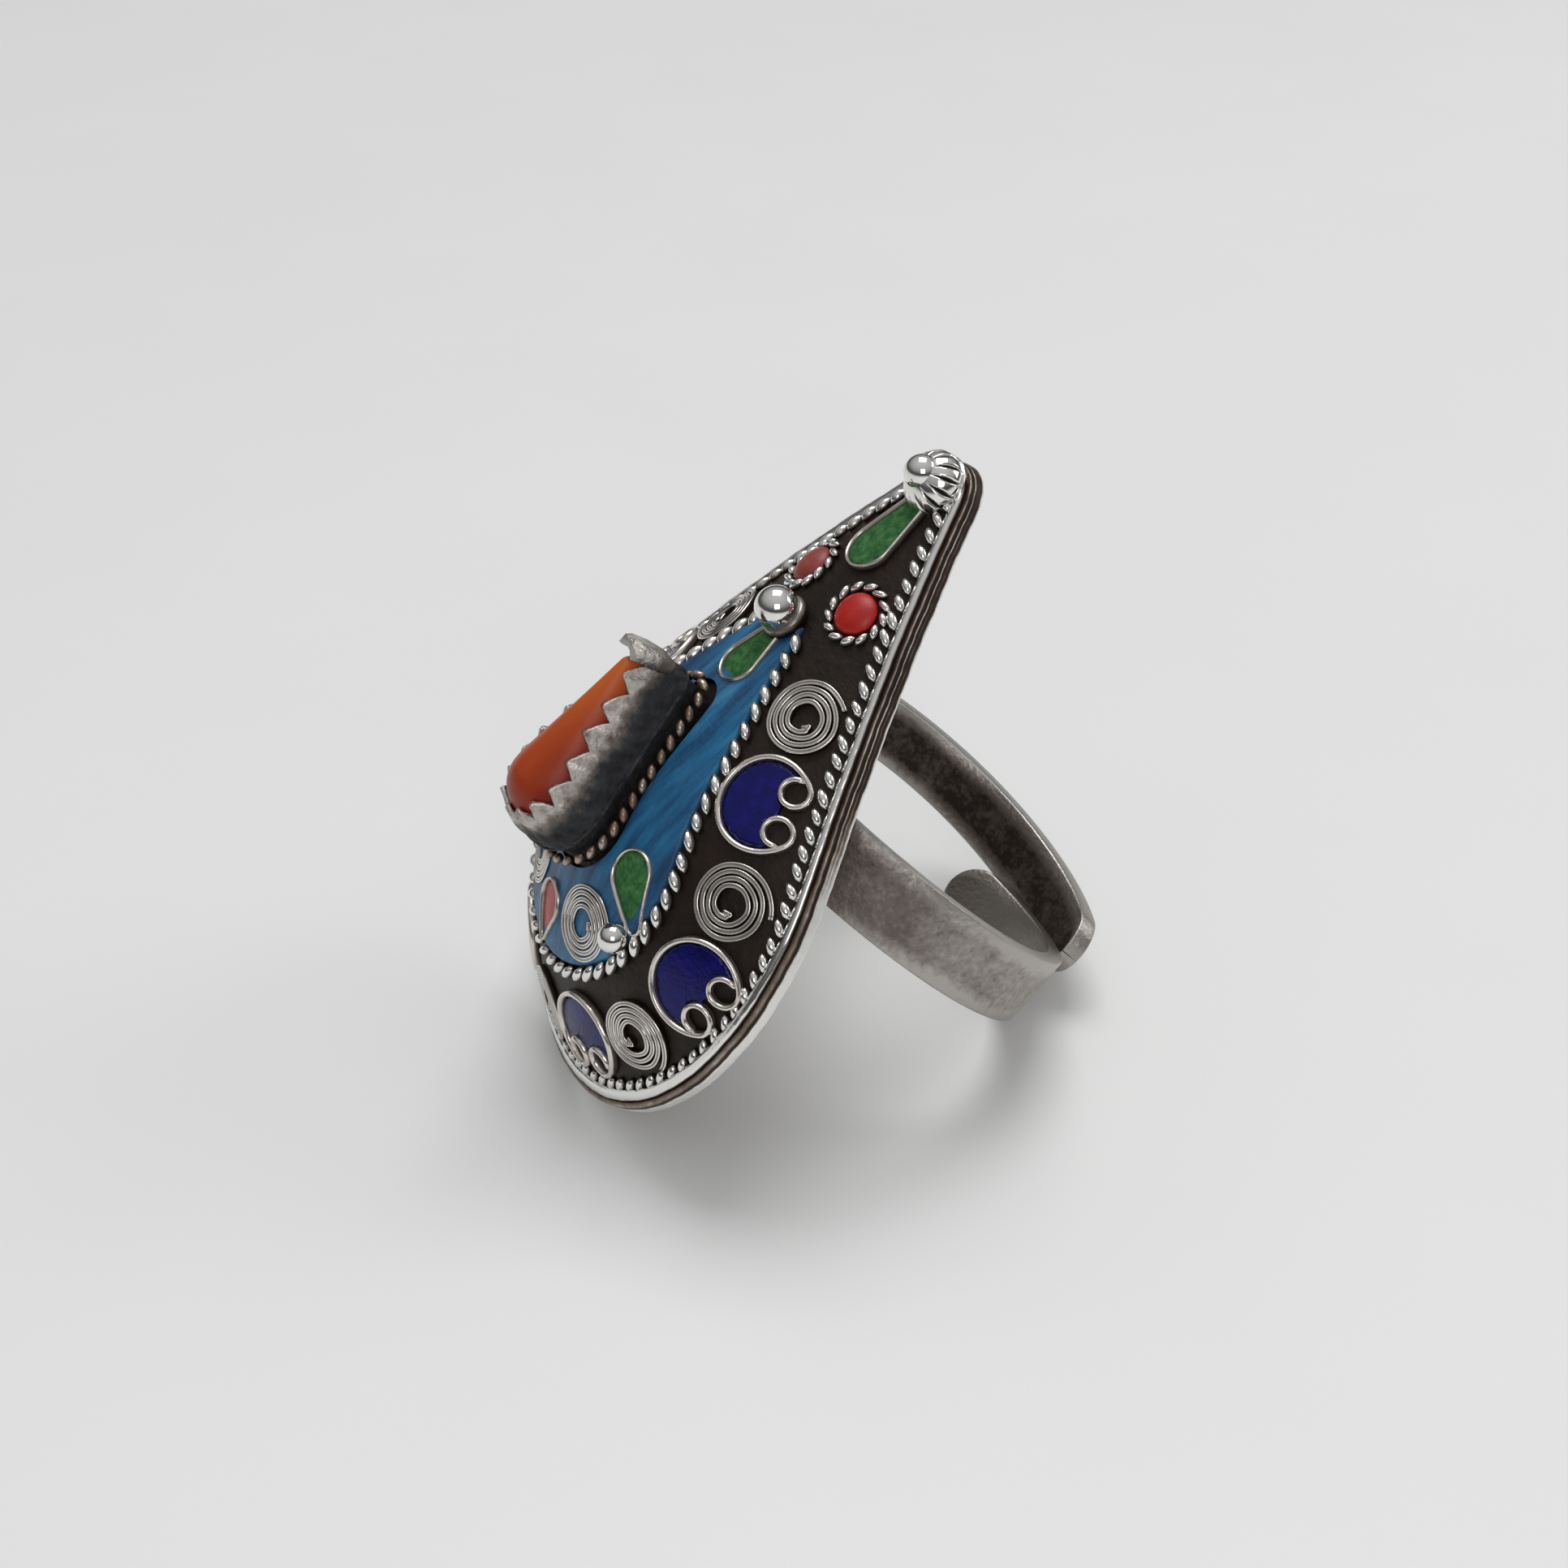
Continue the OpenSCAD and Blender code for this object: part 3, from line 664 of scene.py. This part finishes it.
def collar_shape():
    shape = Shape()
    n = TEETH * TOOTH_STEPS
    xy, nrm, _ = drop_loop(*COLLAR, count=n)
    tang = np.stack([-nrm[:, 1], nrm[:, 0]], -1)

    # Cut edge: rounded teeth with narrow valleys, each tooth of its own size and lean
    phase = (np.arange(n) / TOOTH_STEPS) % 1.0
    which = np.arange(n) // TOOTH_STEPS
    rng = np.random.default_rng(11)
    size = rng.uniform(0.85, 1.1, TEETH)[which]
    mid = rng.uniform(0.40, 0.54, TEETH)[which]
    tooth = np.clip(np.where(phase < mid, phase / mid, (1 - phase) / (1 - mid)), 0, 1)**0.85
    tooth = np.where(tooth > 0.7, 0.7 + 0.22 * np.sin((tooth - 0.7) / 0.3 * np.pi / 2), tooth)
    top = VALLEY + TOOTH_HIGH * tooth * size
    along = 2 * np.pi * np.arange(n) / TOOTH_STEPS / 4.25
    levels = np.concatenate([np.linspace(0, 0.7, 14), np.linspace(0.74, 1.0, 10)])

    def skin(offset):
        """One side of the wall: it leans in, its teeth hook sideways, and dents cross it."""
        rows, worn = [], []
        for k in levels:
            z = WALL_LOW + (top - WALL_LOW) * k
            lean = 0.64 * ease(z, 7.5, 2.4, 1.6) + offset
            hook = -0.16 * tooth * ease(z, 9.1, 0.8, 1.5)
            dent = (0.035 * np.sin(5.1 * z + 3 * along) + 0.03 * np.sin(9.7 * along + 4 * z)
                    + 0.03 * np.sin(3.3 * along))
            rows.append(collar_row(xy - nrm * (lean + dent)[:, None] + tang * hook[:, None], z))
            worn.append(0.20 + 0.64 * ease(z, 8.1, 1.1, 1.3))
        return np.stack(rows), np.stack(worn)

    outside, outside_worn = skin(0.0)
    inside, inside_worn = skin(WALL_T)
    worn = np.concatenate([outside_worn, inside_worn[::-1] * 0.8], 0)
    worn[len(levels) - 1] = 1.0
    worn[len(levels)] = 0.9
    shape.add(np.concatenate([outside, inside[::-1]], 0), skin_faces(2 * len(levels), n).tolist(),
              worn.reshape(-1))

    rows = [collar_row(xy + nrm * grow, z) for grow, z, _ in NECK]
    shape.add(rows, skin_faces(len(NECK), n).tolist(), np.repeat([wear for _, _, wear in NECK], n))

    rows = [collar_row(xy - nrm * 0.3, STONE_FLOOR), collar_row(np.array([[0.0, 2.0]]), STONE_FLOOR)]
    shape.add(np.vstack(rows), [[i, (i + 1) % n, n] for i in range(n)], 0.05)

    tab = []
    for z, half, inset, _ in TAB:
        for dy, step in ((0.0, 1), (-TAB_T, -1)):
            for x in np.linspace(-half, half, TAB_STEPS)[::step]:
                bend = 0.16 * (x / 0.86)**2 + 0.05 * math.sin(5 * x + z)
                tab.append([x, COLLAR[1] + COLLAR[2] - inset - bend + dy + 0.02, z])
    m = 2 * TAB_STEPS
    f = strip_faces(len(TAB), m, False, True).tolist() + [[(len(TAB) - 1) * m + k for k in range(m)]]
    shape.add(on_collar(np.array(tab)), f, np.repeat([wear for *_, wear in TAB], m))
    return shape


collar_shape().build("silver_collar", M_COLLAR)


# Coral cabochon
STONE_IN = 0.5          # its side, in from the collar's outside
STONE_FOOT, STONE_LOW, STONE_HIGH = 7.75, 8.1, 10.55
STONE_SLOPE = 0.055     # fall of its crown toward the point


def cabochon():
    n, m = 160, 40
    xy = drop_loop(*grown(COLLAR, -STONE_IN), count=n)[0]
    spine = np.stack([np.zeros(n), np.clip(xy[:, 1], -0.2, COLLAR[1] - 0.3)], -1)
    high = STONE_HIGH - STONE_SLOPE * np.clip(spine[:, 1], 0, 9)**1.15
    rows = [collar_row(xy, STONE_FOOT)]
    for k in np.linspace(0, 1, m):
        a = k * math.pi / 2
        rows.append(collar_row(spine + (xy - spine) * math.cos(a),
                               STONE_LOW + (high - STONE_LOW) * math.sin(a)**0.9))
    up = np.repeat(np.concatenate([[0.0], np.linspace(0, 1, m)]), n)
    far = np.tile(np.clip(1 - xy[:, 1] / COLLAR[1], 0, 1.4), m + 1)
    redder = 0.30 * far + 0.62 * (1 - up)**1.4
    return np.vstack(rows), skin_faces(len(rows), n), redder


v, f, redder = cabochon()
stone = make("coral_stone", v, f, M_CORAL, "coral", redder=redder)
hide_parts("coral_cabochon")


# Spirals of flat wire
SPIRAL_HALF = 0.105     # half the wire's width
SPIRAL_PITCH = 0.275
SPIRAL_HIGH = 0.30
SPIRAL_HOLE = 0.60
HOOK_STEPS = 16
# On the right side, mirrored on the left: x, y and turn of the outer end
OUTER_SPIRALS = [(4.45, 9.7, 55), (7.95, 2.6, 20), (6.9, -5.0, -20)]
OUTER_SPIRAL_R = 1.72
# The low one, and the two in the turquoise: x, y, turn, radius and hand
OTHER_SPIRALS = [(0, -8.5, -60, 1.76, 1), (2.95, -2.85, 30, 1.78, 1), (-2.95, -2.85, 150, 1.78, -1)]


def spiral(shape, x, y, turn, radius, hand):
    """Coil of flat wire. Its outer end stands off a little, and a hook ends it in the middle hole."""
    turns = (radius - SPIRAL_HALF - SPIRAL_HOLE) / SPIRAL_PITCH
    t = np.linspace(0, 1, int(turns * 60))
    a = 2 * np.pi * turns * t
    r = radius - SPIRAL_HALF - SPIRAL_PITCH * turns * t
    r = r + 0.012 * np.sin(3 * a + x) + 0.008 * np.sin(5.3 * a + y)
    uv = np.stack([r * np.cos(a), hand * r * np.sin(a)], -1)
    uv *= (1 + 0.05 * np.clip(1 - t / 0.05, 0, 1)**1.5)[:, None]
    end = uv[-1]
    d = unit(end - uv[-2])
    inward = unit(-end)
    hook = []
    for k in np.linspace(0.08, 1, HOOK_STEPS):
        b = k * 1.25 * math.pi
        hook.append(end + d * 0.34 * math.sin(b * 0.8) + inward * (0.30 * k + 0.16 * math.sin(b) * (k > 0.3)))
    p, n = seated(x, y, turn, np.vstack([uv, hook]))
    high = np.full(len(p), SPIRAL_HIGH)
    high[-HOOK_STEPS:] *= np.linspace(1, 0.75, HOOK_STEPS)
    shape.strip(p, n, SPIRAL_HALF, high)


coils = Shape()
for x, y, turn in OUTER_SPIRALS:
    spiral(coils, x, y, turn, OUTER_SPIRAL_R, 1)
    spiral(coils, -x, y, 180 - turn, OUTER_SPIRAL_R, -1)
for values in OTHER_SPIRALS:
    spiral(coils, *values)
coils.build("silver_spirals", M_COIL)


# Comma cells on the right side, mirrored on the left: x, y and axis in degrees
COMMAS = [(6.1, 6.3, 28), (8.5, -1.1, -8), (4.0, -7.3, -61)]
COMMA_R = 1.95
CURL_R = 0.62
CURL_UP, CURL_LOW = 36, -46     # the two curls, in degrees from the axis
CURL_TURN = 2 * math.pi * 0.93
ENAMEL_LIFT = 0.2


def comma_path(axis):
    """One wire: a curl, the big round, and the other curl."""
    up, low = math.radians(axis + CURL_UP), math.radians(axis + CURL_LOW)
    pts = []
    for k in np.linspace(0, 1, 34):
        pts.append(polar(COMMA_R - CURL_R, up) + CURL_R * (0.86 + 0.14 * k) * polar(1, up - CURL_TURN * (1 - k)))
    for a in np.linspace(up, low + 2 * math.pi, 70)[1:-1]:
        pts.append(polar(COMMA_R, a))
    for k in np.linspace(0, 1, 34):
        pts.append(polar(COMMA_R - CURL_R, low) + CURL_R * (1 - 0.14 * k) * polar(1, low + CURL_TURN * k))
    return np.array(pts)


def comma_fill(axis, seed):
    """Outline of the enamel: inside the big round, with a chipped edge, and outside the curls."""
    rng = np.random.default_rng(seed)
    up, low = axis + CURL_UP, axis + CURL_LOW
    pts = []
    for a in np.linspace(up + 16, low + 360 - 16, 80):
        chip = 1 - 0.035 * abs(math.sin(a * 0.21 + seed)) - 0.030 * rng.random()
        pts.append((COMMA_R - 0.13) * chip * polar(1, math.radians(a)))
    for curl, start, stop in ((low, low - 120, low - 205), (up, up + 205, up + 120)):
        for a in np.linspace(start, stop, 16):
            pts.append(polar(COMMA_R - CURL_R, math.radians(curl)) + polar(CURL_R + 0.10, math.radians(a)))
    return np.array(pts)


def flat_patch(x, y, turn, uv, crown, rings=10):
    """Enamel that fills a flat outline on the dome, crown higher in its middle."""
    uv = np.asarray(uv, float)
    c = uv.mean(0)
    low, n = seated(x, y, turn, uv)
    rows = [low - n * 0.05]
    for k in np.linspace(1, 0, rings + 1)[:-1]:
        p, n = seated(x, y, turn, c + (uv - c) * k)
        rows.append(p + n * (ENAMEL_LIFT + crown * (1 - k * k)))
    mid, n = seated(x, y, turn, c[None])
    v = np.vstack(rows + [mid + n * (ENAMEL_LIFT + crown)])
    m = len(uv)
    last = (len(rows) - 1) * m
    f = skin_faces(len(rows), m).tolist()
    f += [[last + i, last + (i + 1) % m, len(v) - 1][::-1] for i in range(m)]
    return v, f


cells = Shape()
number = 0
for mirror in (1, -1):
    for x, y, axis in COMMAS:
        number += 1
        p, n = seated(mirror * x, y, 0, comma_path(axis) * [mirror, 1])
        cells.tube(p + n * 0.16, n, 0.135, 0.26, sides=10, worn=(0.02, 1.0), closed=False, power=2.6, taper=3)
        outline = (comma_fill(axis, number) * [mirror, 1])[::mirror]
        v, f = flat_patch(mirror * x, y, 0, outline, crown=0.02)
        patch = make(f"lapis_{number}", v, f, M_LAPIS, "lapis_enamel")
        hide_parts(f"lapis_comma_{number}")

# Teardrop cells: piece, node, x, y, turn, teardrop, material, slot
DROP_CELLS = [
    ("green_tip", "green_drop_tip", 0, 16.3, 0, (1.12, 2.5, 0.62), M_GREEN, "green_enamel"),
    ("green_upper", "green_drop_upper", 0, 9.5, 0, (1.0, 1.7, 0.55), M_GREEN, "green_enamel"),
    ("green_right", "green_drop_right", 4.15, 0.62, -137, (1.02, 2.05, 0.36), M_GREEN, "green_enamel"),
    ("green_left", "green_drop_left", -4.15, 0.62, 137, (1.02, 2.05, 0.36), M_GREEN, "green_enamel"),
    ("red_low", "red_drop", 0, -3.75, 180, (0.95, 1.6, 0.3), M_RED_ENAMEL, "red_enamel"),
]
for name, node, x, y, turn, drop, material, slot in DROP_CELLS:
    uv, nrm, _ = drop_loop(*drop, count=90)
    p, n = seated(x, y, turn, uv)
    cells.tube(p + n * 0.14, n, 0.075, 0.24, sides=8, worn=(0.05, 0.75))
    v, f = flat_patch(x, y, turn, uv - nrm * 0.06, crown=0.04)
    patch = make(name, v, f, material, slot)
    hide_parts(node)
cells.build("silver_cells", M_CELL)


# Turquoise field
def field():
    """From the inner beaded wire to under the collar. It is higher along both than in the middle."""
    n, m = 260, 40
    outer = drop_loop(INNER_ROPE[0] - 0.3, INNER_ROPE[1], 0.35, count=n)[0] + [0, INNER_Y]
    outer[:, 1] = np.minimum(outer[:, 1], INNER_END - 0.1)
    inner = collar_row(drop_loop(*grown(COLLAR, 0.1), count=n)[0], 6.4)[:, :2]
    rows = []
    for k in np.linspace(0, 1, m):
        p, nrm = on_dome(outer + (inner - outer) * k)
        rows.append(p + nrm * (0.0 if k == 0 else 0.17 + 0.10 * (2 * k - 1)**2))
    return np.vstack(rows), skin_faces(m, n)


v, f = field()
turq = make("turquoise_ground", v, f, M_TURQ, "turquoise_enamel")
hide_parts("turquoise_field")

# Small corals in rings of beaded wire: piece, node, side, material
CORALS = [("coral_dot_right", "red_coral_right", 1, M_RED), ("coral_dot_left", "red_coral_left", -1, M_RED_DULL)]
CORAL_X, CORAL_Y = 2.3, 14.0
CORAL_R = 0.96
CORAL_RING_R = 1.25

rings = Shape()
a = circle(72)
around = np.stack([np.cos(a), np.sin(a)], -1)
for name, node, side, material in CORALS:
    x, y = side * CORAL_X, CORAL_Y
    p, n = seated(x, y, 0, CORAL_RING_R * around)
    grain_row(rings, p + n * 0.14, n, 13, 32, (0.36, 0.17, 0.22), seed=7 + side)
    out = seat(x, y)[1][:, 2]
    rows = []
    for k in np.linspace(0, 1, 16):
        b = k * math.pi / 2
        p = seated(x, y, 0, CORAL_R * math.cos(b) * around)[0]
        rows.append(p + out * (0.1 + 0.42 * math.sin(b)))
    dot = make(name, np.vstack(rows), skin_faces(len(rows), len(a)), material, "red_coral")
    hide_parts(node)
rings.build("silver_coral_rings", M_ROPE)

# Balls and rosette
LOW_BALL = (5.1, -1.75)
MIDDLE_BALL = (0, 11.95)
ROSETTE = (0, 19.85, 0.45)
ROSETTE_R = 1.4
ROSETTE_BALL = (0, 20.0, 1.22)
RIBS = 14


def ribbed_cup(shape, base, radius, ribs, foot, squash):
    """Half ball with leaf-shaped grooves between its ribs, on a thin lip."""
    base = np.asarray(base)
    n, m = ribs * 14, 26
    a = 2 * np.pi * np.arange(n) / n
    off = np.abs(np.sin(a * ribs / 2))
    rows = [base + np.stack([radius * 0.9 * np.cos(a), radius * 0.9 * np.sin(a), np.full(n, -foot)], -1)]
    worn = [np.full(n, 0.2)]
    for e in np.radians(np.linspace(-30, 84, m)):
        leaf = np.clip(1 - abs(math.degrees(e) - 18) / 38, 0, 1)**0.6
        cut = np.clip(1 - off / (0.02 + 0.62 * leaf), 0, 1)**0.7 if leaf > 0 else np.zeros(n)
        r = radius * (1 - 0.15 * cut * leaf)
        rows.append(base + np.stack([r * math.cos(e) * np.cos(a), r * math.cos(e) * np.sin(a),
                                     r * squash * math.sin(e)], -1))
        worn.append(0.95 - 0.95 * np.clip(cut * 1.6, 0, 1))
    shape.add(np.stack(rows), skin_faces(len(rows), n).tolist(), np.concatenate(worn))
    t = circle(64)
    lip = base + np.stack([radius * 0.97 * np.cos(t), radius * 0.93 * np.sin(t), np.full(64, -0.45)], -1)
    shape.tube(lip, (0, 0, 1), 0.07, 0.07, sides=8, worn=(0.3, 1.0))


balls = Shape()
for side in (1, -1):
    p, m = seat(side * LOW_BALL[0], LOW_BALL[1])
    balls.ball(p + m[:, 2] * 0.6, 0.66, m[:, 2], rings=14, sides=24, worn=(0.2, 1.0))
p, m = seat(*MIDDLE_BALL)
balls.ball(p + m[:, 2] * 1.0, 0.95, m[:, 2], rings=16, sides=28, worn=(0.0, 1.0))
a = circle(48)
cup = p + m[:, 2] * 0.34 + 0.86 * (np.cos(a)[:, None] * m[:, 0] + np.sin(a)[:, None] * m[:, 1])
balls.tube(cup, m[:, 2], 0.2, 0.3, sides=10, worn=(-0.2, 0.28))
ribbed_cup(balls, ROSETTE, ROSETTE_R, RIBS, foot=0.8, squash=0.78)
balls.ball(ROSETTE_BALL, 0.77, (0, 0, 1), rings=18, sides=32, worn=(0.15, 1.0))
balls.build("silver_balls", M_BALL)


# Band
BAND_Z = -7.93          # height of both arms' centres, before their shift
BAND_T = 0.9
BEVEL = 0.1
# Each arm: y of its mid-plane at z 0, its tip and turn, its inner radius, the shift of its centre (length and
# direction), its width, its first and last angle, and the wear of its inside, which on the far arm is set dark
# as painted shade. Angles are in degrees.
ARMS = {
    "near": dict(y=5.32, tip=-10.67, turn=2.18, r=9.0, shift=(0.0, 0.0), w=3.45, a0=-62, a1=112, inner=0.80),
    "far": dict(y=6.09, tip=-4.54, turn=-7.8, r=9.5, shift=(0.9, 80), w=3.2, a0=240, a1=60, inner=0.06),
}
WEAR_ARM_EDGE, WEAR_ARM_OUTSIDE = 0.95, 0.60
# Darker toward the shield: how much it takes off the wear, from what height, over what span
DARKEN_NEAR_SHIELD, DARKEN_FROM, DARKEN_SPAN = 0.34, -6.0, 5.0


def rotation(degrees, axis):
    return Matrix.Rotation(math.radians(degrees), 3, axis)


def band_section(half):
    """Round an arm's section, the inside first: depth, place across, and 1 on an edge."""
    corner = [(BEVEL, half), (BEVEL * 0.35, half - BEVEL * 0.2), (0.0, half - BEVEL)]
    inside = ([(d, -w, 1) for d, w in corner] + [(0.0, w * half, 0) for w in (-0.5, 0.0, 0.5)]
              + [(d, w, 1) for d, w in corner[::-1]])
    return inside + [(BAND_T - d, w, e) for d, w, e in inside[::-1]]


def arm(name, k):
    """One arm of the open band, rounded at its last angle."""
    half = k["w"] / 2
    ang = np.linspace(k["a0"], k["a1"], 150)
    forward = -1 if k["a1"] < k["a0"] else 1
    from_end = np.radians(np.abs(k["a1"] - ang)) * k["r"]
    # Closely spaced sections at the rounded end
    tail = np.degrees((1 - np.cos(np.linspace(math.pi / 2, 0.02, 24))) * half / k["r"])
    ang = np.concatenate([ang[from_end > half * 1.02], k["a1"] - forward * tail])
    from_end = np.radians(np.abs(k["a1"] - ang)) * k["r"]
    width = np.where(from_end < half, np.sqrt(np.maximum(half**2 - (half - from_end)**2, 1e-4)), half)

    shift = polar(k["shift"][0], math.radians(k["shift"][1]))
    pose = np.array(rotation(k["turn"], "Z") @ rotation(k["tip"], "X") @ rotation(-90, "X"))
    centre = np.array([0, k["y"] + BAND_Z * math.tan(math.radians(-k["tip"])), BAND_Z])
    section = band_section(half)
    v, worn = [], []
    for a, half_here in zip(np.radians(ang), width):
        for depth, w, edge in section:
            r = k["r"] + depth
            local = np.array([r * np.cos(a) + shift[0], r * np.sin(a) + shift[1], w / half * half_here])
            v.append(local @ pose.T + centre)
            # The inside is wear on the near arm and painted shade on the far arm
            wear = WEAR_ARM_EDGE if edge else k["inner"] if depth == 0 else WEAR_ARM_OUTSIDE
            worn.append(wear - DARKEN_NEAR_SHIELD * ease(v[-1][2], DARKEN_FROM, DARKEN_SPAN))
    n, m = len(ang), len(section)
    f = strip_faces(n, m, False, True).tolist() + [end[::-1] for end in end_faces(n, m)]
    return make(name, v, f, M_BAND, "silver", worn=worn)


for key, values in ARMS.items():
    arm("silver_band_" + key, values)

# Fix the winding of every piece, so that outward faces face out
for ob in PIECES:
    bpy.context.view_layer.objects.active = ob
    bpy.ops.object.select_all(action="DESELECT")
    ob.select_set(True)
    bpy.ops.object.mode_set(mode="EDIT")
    bpy.ops.mesh.select_all(action="SELECT")
    bpy.ops.mesh.normals_make_consistent(inside=False)
    bpy.ops.object.mode_set(mode="OBJECT")

# Floor, in metres
FLOOR_HALF = 1.2
floor_mat, nt, bsdf = nodes_of("pale_floor")
nt.links.new(ramp(nt, noise(nt, 40, 3), [(0.3, (0.855, 0.862, 0.855)), (0.7, (0.87, 0.876, 0.87))]),
             bsdf.inputs["Base Color"])
bsdf.inputs["Roughness"].default_value = 0.6
me = bpy.data.meshes.new("floor")
me.from_pydata([(-FLOOR_HALF, -FLOOR_HALF, 0), (FLOOR_HALF, -FLOOR_HALF, 0),
                (FLOOR_HALF, FLOOR_HALF, 0), (-FLOOR_HALF, FLOOR_HALF, 0)], [], [(0, 1, 2, 3)])
floor = bpy.data.objects.new("floor", me)
me.materials.append(floor_mat)
bpy.context.scene.collection.objects.link(floor)

# Room: brightness from straight down (0) to straight up (1), dim just above the horizon
ROOM = [(0.0, 0.45), (0.49, 0.45), (0.53, 0.06), (0.62, 0.08), (0.78, 0.33), (1.0, 0.54)]
world = bpy.data.worlds.new("room")
bpy.context.scene.world = world
world.use_nodes = True
wt = world.node_tree
split = wt.nodes.new("ShaderNodeSeparateXYZ")
wt.links.new(wt.nodes.new("ShaderNodeTexCoord").outputs["Generated"], split.inputs[0])
upward = math_node(wt, "MULTIPLY_ADD", split.outputs[2], 0.5, 0.5)
bg = wt.nodes["Background"]
wt.links.new(ramp(wt, upward, [(pos, grey(v)) for pos, v in ROOM]), bg.inputs[0])
bg.inputs[1].default_value = 1.0

# Soft lamps, in metres and watts: place, size and power. All aim at one point inside the ring.
LAMPS = {
    "key": ((-0.40, 0.22, 1.30), 0.78, 7.9),
    "fill": ((0.30, -0.10, 0.22), 0.16, 0.20),
    "rim": ((0.05, 0.35, 0.20), 0.20, 0.22),
}
LAMP_AIM = Vector((0, 0, 0.01))
for name, (place, size, power) in LAMPS.items():
    light = bpy.data.lights.new(name, "AREA")
    light.size = size
    light.energy = power
    ob = bpy.data.objects.new(name, light)
    ob.location = place
    ob.rotation_euler = (LAMP_AIM - Vector(place)).to_track_quat("-Z", "Y").to_euler()
    bpy.context.scene.collection.objects.link(ob)

# Camera, fitted to the photo: the rim-plane frame's axes and origin as it sees them (right, down, ahead)
CAM_X = np.array([0.369, 0.525, -0.767])
CAM_Y = np.array([0.523, -0.800, -0.296])
CAM_Z = np.array([-0.768, -0.293, -0.570])
CAM_ORIGIN = np.array([-3.89, 3.60, 82.95])
u, _, vt = np.linalg.svd(np.stack([CAM_X, CAM_Y, CAM_Z], 1))
turned = u @ vt
right, down, ahead = turned
cam = bpy.data.cameras.new("camera")
cam.lens = 42.86
cam.sensor_width = 36.0
cam.clip_start = 0.005
cam.clip_end = 10
cam_ob = bpy.data.objects.new("camera", cam)
bpy.context.scene.collection.objects.link(cam_ob)
rot = np.stack([TURN @ right, TURN @ -down, TURN @ -ahead], 1)
at = to_rest(-(turned.T @ CAM_ORIGIN))
cam_ob.matrix_world = Matrix([[*map(float, rot[i]), float(at[i])] for i in range(3)] + [[0, 0, 0, 1]])
bpy.context.scene.camera = cam_ob
bpy.context.scene.view_settings.view_transform = "Standard"
